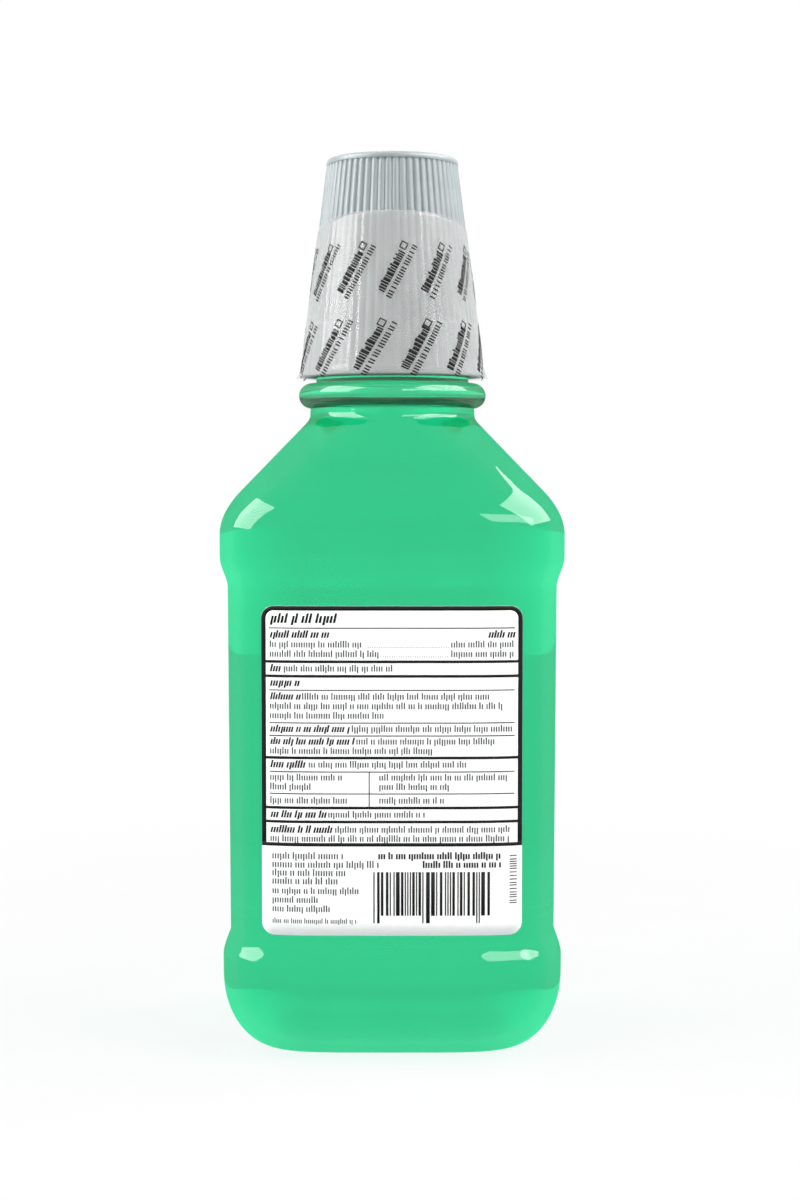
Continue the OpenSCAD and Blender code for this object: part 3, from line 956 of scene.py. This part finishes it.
def build_world():
    world = bpy.data.worlds.new("studio")
    bpy.context.scene.world = world
    s = Shader("studio", world)
    direction = s.add("ShaderNodeSeparateXYZ", {0: s.add("ShaderNodeTexCoord").outputs["Generated"]})
    sideways = s.math("ABSOLUTE", direction.outputs["X"])
    level = s.between(sideways, 0.36, 0.5)
    soft = s.add("ShaderNodeBackground", {"Color": (1, 1, 1, 1), "Strength": level}).outputs[0]
    # Through the liquid the backdrop runs from 0.75 straight behind and low to 1.29 aside and high
    behind = s.add("ShaderNodeMapRange", {
        "Value": sideways, "From Min": 0.0, "From Max": 0.32, "To Min": 0.85, "To Max": 1.17}).outputs[0]
    above = s.add("ShaderNodeMapRange", {
        "Value": direction.outputs["Z"],
        "From Min": -0.25, "From Max": 0.25, "To Min": -0.10, "To Max": 0.12}).outputs[0]
    behind = s.math("ADD", behind, above)
    bent = s.add("ShaderNodeLightPath").outputs["Is Transmission Ray"]
    shown = s.add("ShaderNodeMix", {"Factor": bent, "A": 1.0, "B": behind}).outputs[0]
    white = s.add("ShaderNodeBackground", {"Color": (1, 1, 1, 1), "Strength": shown}).outputs[0]
    mixed = s.add("ShaderNodeMixShader", {0: white_rays(s), 1: soft, 2: white}).outputs[0]
    s.add("ShaderNodeOutputWorld", {"Surface": mixed})


def build_floor():
    reach = 1.5
    data = bpy.data.meshes.new("floor")
    data.from_pydata([(-reach, -reach, 0), (reach, -reach, 0), (reach, reach, 0), (-reach, reach, 0)],
                     [], [(0, 1, 2, 3)])
    floor = bpy.data.objects.new("floor", data)
    floor.location.z = -0.2 * MM
    bpy.context.scene.collection.objects.link(floor)
    s = Shader("white_floor")
    away = s.add("ShaderNodeVectorMath", {0: s.place()}, operation="LENGTH").outputs["Value"]
    # Near the object the floor is partly lit paper, so that it keeps the object's shadow
    share = s.add("ShaderNodeMapRange", {
        "Value": away, "From Min": 0.1, "From Max": 0.4, "To Min": 0.80, "To Max": 1.0,
    }).outputs[0]
    paper = s.add("ShaderNodeBsdfDiffuse", {
        "Color": s.tones(s.noise(40), (0.40, 0.40, 0.40), (0.42, 0.42, 0.42))}).outputs[0]
    bent = s.add("ShaderNodeLightPath").outputs["Is Transmission Ray"]
    # Seen through the liquid it has no shadow and is about as bright as the backdrop
    through = s.add("ShaderNodeMapRange", {
        "Value": away, "From Min": 0.05, "From Max": 0.3, "To Min": 0.92, "To Max": 0.86}).outputs[0]
    strength = s.add("ShaderNodeMix", {"Factor": bent, "A": 1.0, "B": through}).outputs[0]
    glow = s.add("ShaderNodeEmission", {"Color": (1, 1, 1, 1), "Strength": strength}).outputs[0]
    fac = s.math("MULTIPLY", white_rays(s), s.math("MAXIMUM", share, bent))
    surface = s.add("ShaderNodeMixShader", {0: fac, 1: paper, 2: glow}).outputs[0]
    floor.data.materials.append(s.finish(surface))


def add_lamp(name, around, up, distance, width, height, radiance, shines):
    """A soft panel, placed by degrees round from the front and degrees up.

    It either lights surfaces or, where it shines, shows in them as a highlight.
    """
    around, up = math.radians(around), math.radians(up)
    level = math.cos(up)
    towards = Vector((math.sin(around) * level, -math.cos(around) * level, math.sin(up)))
    data = bpy.data.lights.new(name, "AREA")
    data.shape = "RECTANGLE"
    data.size, data.size_y = width, height
    data.energy = math.pi * width * height * radiance
    lamp = bpy.data.objects.new(name, data)
    bpy.context.scene.collection.objects.link(lamp)
    lamp.location = Vector((0, 0, LAMP_AIM_Z)) + distance * towards
    lamp.rotation_euler = (-towards).to_track_quat("-Z", "Y").to_euler()
    lamp.visible_camera = False
    lamp.visible_transmission = False
    lamp.visible_diffuse = not shines
    lamp.visible_glossy = shines
    return lamp


def build_lamps():
    # A wide low panel ahead of the right one draws out the highlight on the lower bumper band
    add_lamp("right_front", 38, 33, SHINE_AT, 0.62, 0.18, 6.0, True)
    # A panel at each side, twice: one that lights surfaces, and one behind it that shines in them.
    # They are above a plain level, so that what faces sideways renders lighter than its colour is written.
    kinds =(("light", LIGHT_AT, 8.8, False), ("shine", SHINE_AT, 8.0, True))
    for kind, distance, radiance, shines in kinds:
        add_lamp("left_" + kind, -77, 36, distance, 0.70, 0.60, radiance, shines)
        add_lamp("right_" + kind, 80, 44, distance, 0.86, 0.56, radiance, shines)
    add_lamp("overhead", 0, 88, LIGHT_AT, 0.6, 0.5, 0.8, False)


def build_camera():
    """The photograph's view: 600 mm from the bottle's axis, 156 mm up, tilted down a little."""
    data = bpy.data.cameras.new("camera")
    data.sensor_width = 36
    data.lens = 64.8
    camera = bpy.data.objects.new("camera", data)
    camera.location = (0.00211, -0.600, 0.156)
    camera.rotation_euler = (math.radians(90 - 3.339), 0, 0)
    bpy.context.scene.collection.objects.link(camera)
    bpy.context.scene.camera = camera


ink = ink_material()
add_piece("bottle_shell", bottle_mesh(), "bottle", pet_material(), ("bottle",))
add_piece("green_liquid", liquid_mesh(), "bottle", liquid_material(), ("mouthwash",))
add_piece("label", label_mesh(), "bottle", label_material(), ("back_label",))
add_piece("label_ink", label_print(), "bottle", ink)
add_piece("seal_ring", seal_mesh(), "cap_seal", foam_material(), ("cap_seal",))
add_piece("ribbed_cap", cap_mesh(), "cap", cap_material(), ("cap",))
add_piece("film_band", film_mesh(), "neckband", film_material(), ("neckband",))
add_piece("band_ink", band_print(), "neckband", ink)

build_world()
build_floor()
build_lamps()
build_camera()
bpy.context.scene.view_settings.view_transform = "Standard"
